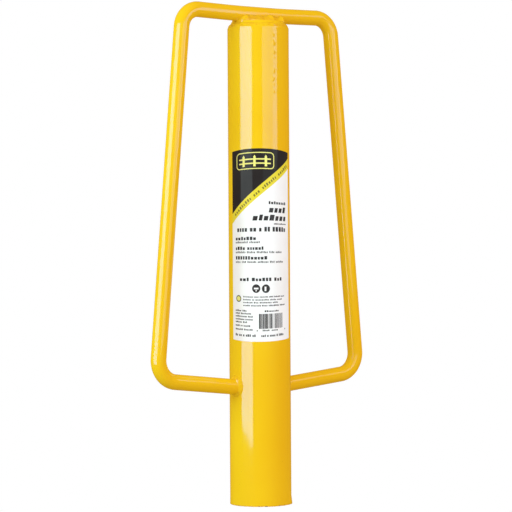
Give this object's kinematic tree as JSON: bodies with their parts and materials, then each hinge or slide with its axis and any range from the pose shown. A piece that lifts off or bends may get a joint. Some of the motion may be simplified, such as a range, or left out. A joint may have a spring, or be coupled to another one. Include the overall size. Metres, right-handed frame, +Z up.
{
  "type": "manual post driver",
  "caption": "Heavy steel tube closed at one end by a solid head, with two bent round-bar hand grips, dropped over a post to hammer it into the ground.",
  "frame": {"origin": "centre of the tube's open mouth, in the plane of its rim", "axes": "+Z up the tube's axis to the closed head, X in the plane of the two hand grips, -Y the side the decal mostly faces"},
  "size_m": [0.325, 0.0764, 0.6194],
  "materials": {
    "powder_coat": "glossy golden-yellow coating over steel",
    "plug_steel": "solid steel slug, coated above the tube and bare on the strike face inside",
    "coated_weld": "weld bead under the same yellow coating",
    "decal_film": "printed vinyl film, mostly black with white and yellow areas"
  },
  "bodies": {
    "root": {"driver_tube": "powder_coat", "head_plug": "plug_steel", "handle_bar": "powder_coat", "weld_head_rim": "coated_weld", "weld_handle_top_front": "coated_weld", "weld_handle_top_back": "coated_weld", "weld_handle_left": "coated_weld", "weld_handle_right": "coated_weld", "label": "decal_film"}
  },
  "joints": []
}
